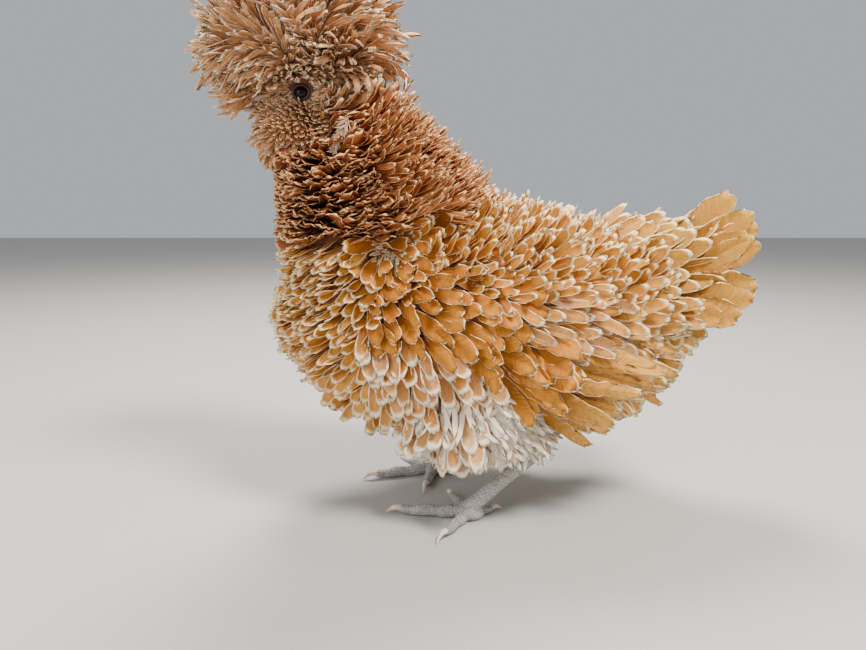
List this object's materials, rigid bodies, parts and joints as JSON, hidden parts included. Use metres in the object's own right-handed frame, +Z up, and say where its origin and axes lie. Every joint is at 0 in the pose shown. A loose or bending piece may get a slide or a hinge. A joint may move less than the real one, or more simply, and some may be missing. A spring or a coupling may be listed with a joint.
{
  "type": "frizzled crested hen",
  "caption": "Life-size still model of a crested, bearded hen with frizzled buff, white-edged feathers, standing on grey four-toed feet.",
  "frame": {"origin": "on the floor, under the middle of the model's bounding box", "axes": "+Z up, -X the way the bill points, -Y the bird's left side"},
  "size_m": [0.4522, 0.1954, 0.4238],
  "materials": {
    "plumage": "soft buff feathers with pale edges",
    "face_skin": "dusky bare skin",
    "horn": "pale horn of bill and claws",
    "eye": "wet dark eye",
    "shank_skin": "dry grey scutes"
  },
  "bodies": {
    "root": {"beard": "plumage", "bill_lower": "horn", "bill_upper": "horn", "claw_left_hind": "horn", "claw_left_inner": "horn", "claw_left_middle": "horn", "claw_left_outer": "horn", "claw_right_hind": "horn", "claw_right_inner": "horn", "claw_right_middle": "horn", "claw_right_outer": "horn", "crest": "plumage", "eye_left": "eye", "eye_right": "eye", "head": "face_skin", "leg_left": "shank_skin", "leg_right": "shank_skin", "neck": "plumage", "tail": "plumage", "thigh_left": "plumage", "thigh_right": "plumage", "torso": "plumage", "wing_left": "plumage", "wing_right": "plumage"}
  },
  "joints": []
}
